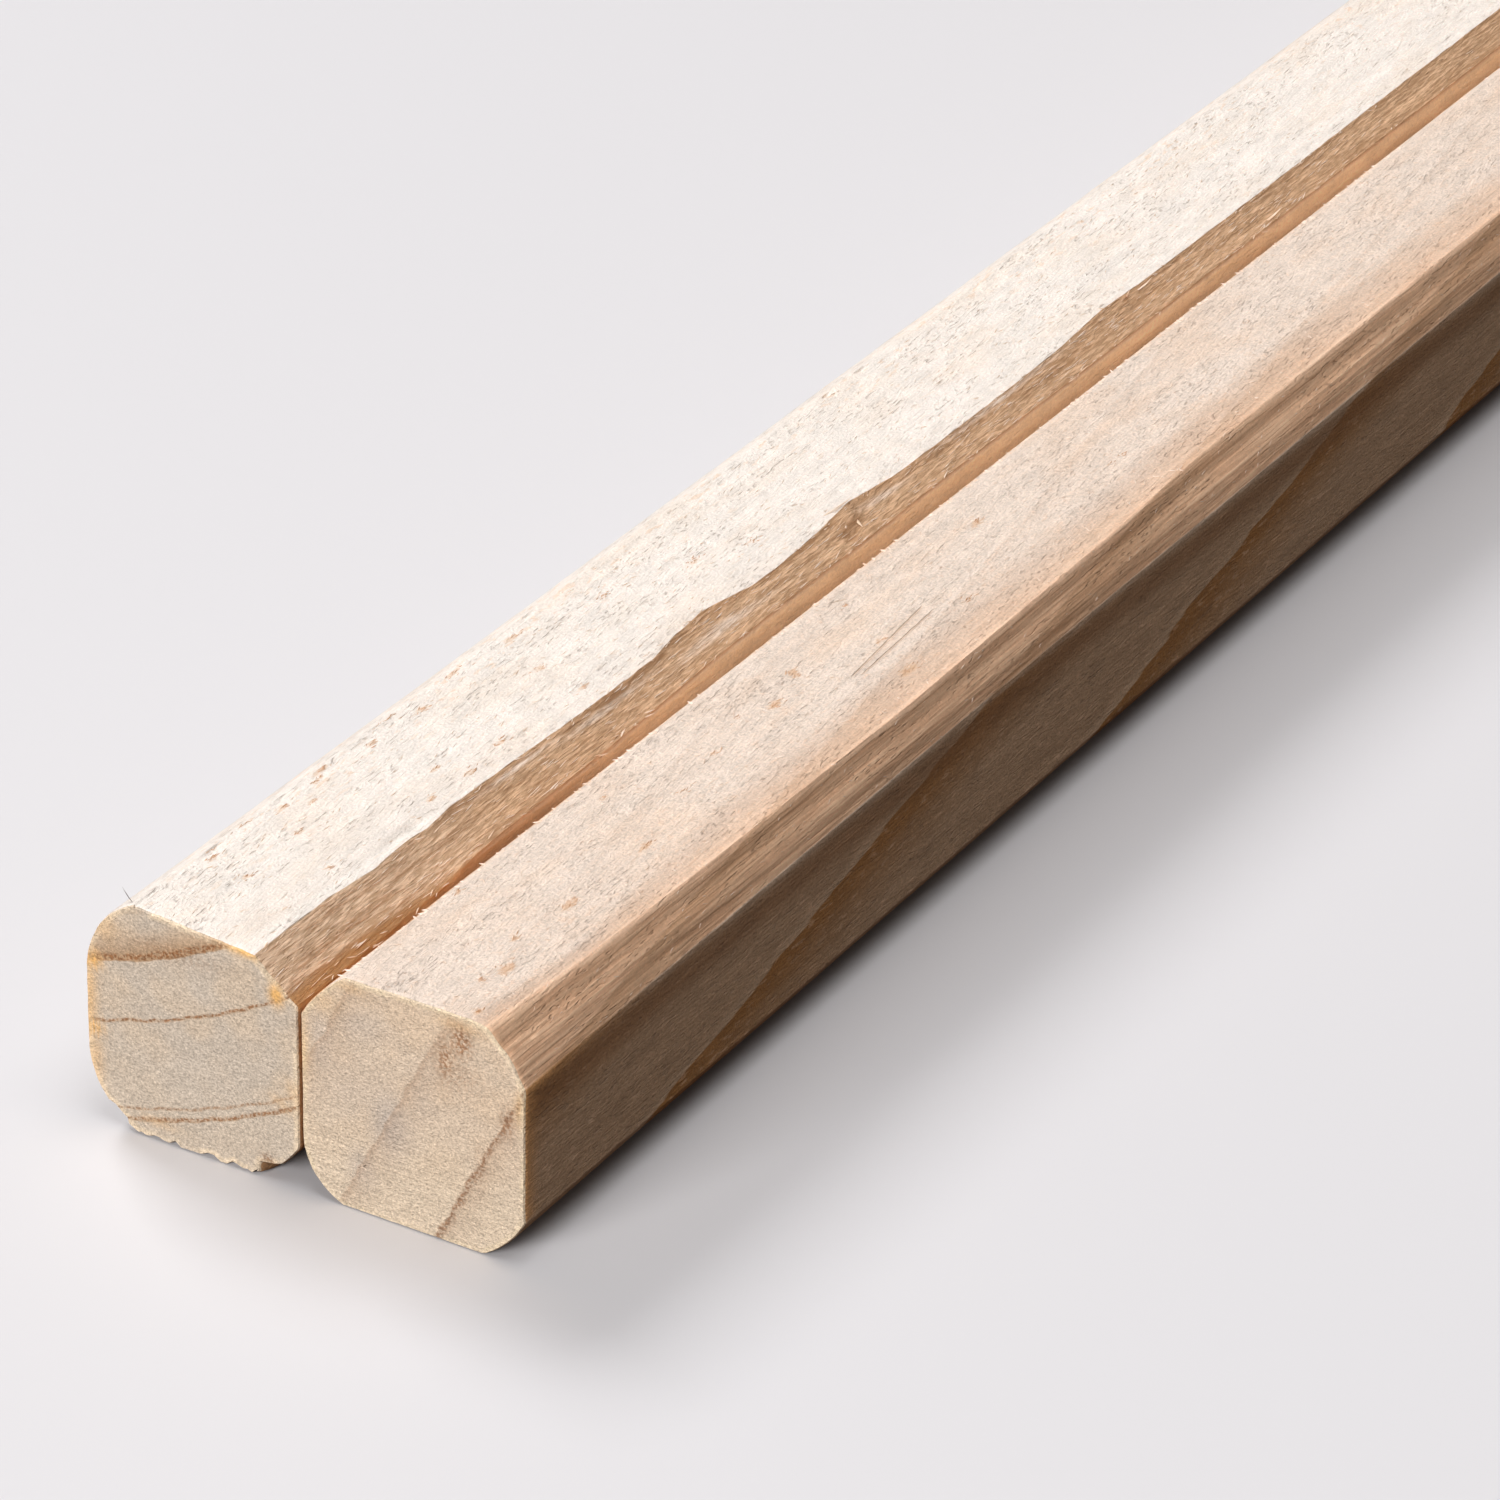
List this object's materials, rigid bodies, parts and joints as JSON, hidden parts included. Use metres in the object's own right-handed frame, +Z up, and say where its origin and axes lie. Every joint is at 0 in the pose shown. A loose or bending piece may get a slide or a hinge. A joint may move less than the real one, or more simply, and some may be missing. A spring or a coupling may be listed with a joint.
{
  "type": "pair of disposable wooden chopsticks",
  "caption": "Pair of plain wooden chopsticks lying side by side: square handles with cut corners, long taper to slim tips.",
  "frame": {"origin": "on the table, below the middle of the pair's bounding box", "axes": "+Y along the sticks from the square thick ends to the tips, +Z up, +X from the left stick to the right stick"},
  "size_m": [0.011, 0.21, 0.0057],
  "materials": {
    "pale_wood": "sawn, unfinished",
    "warm_wood": "sawn, unfinished"
  },
  "bodies": {
    "root": {"left_chopstick": "pale_wood", "right_chopstick": "warm_wood"}
  },
  "joints": []
}
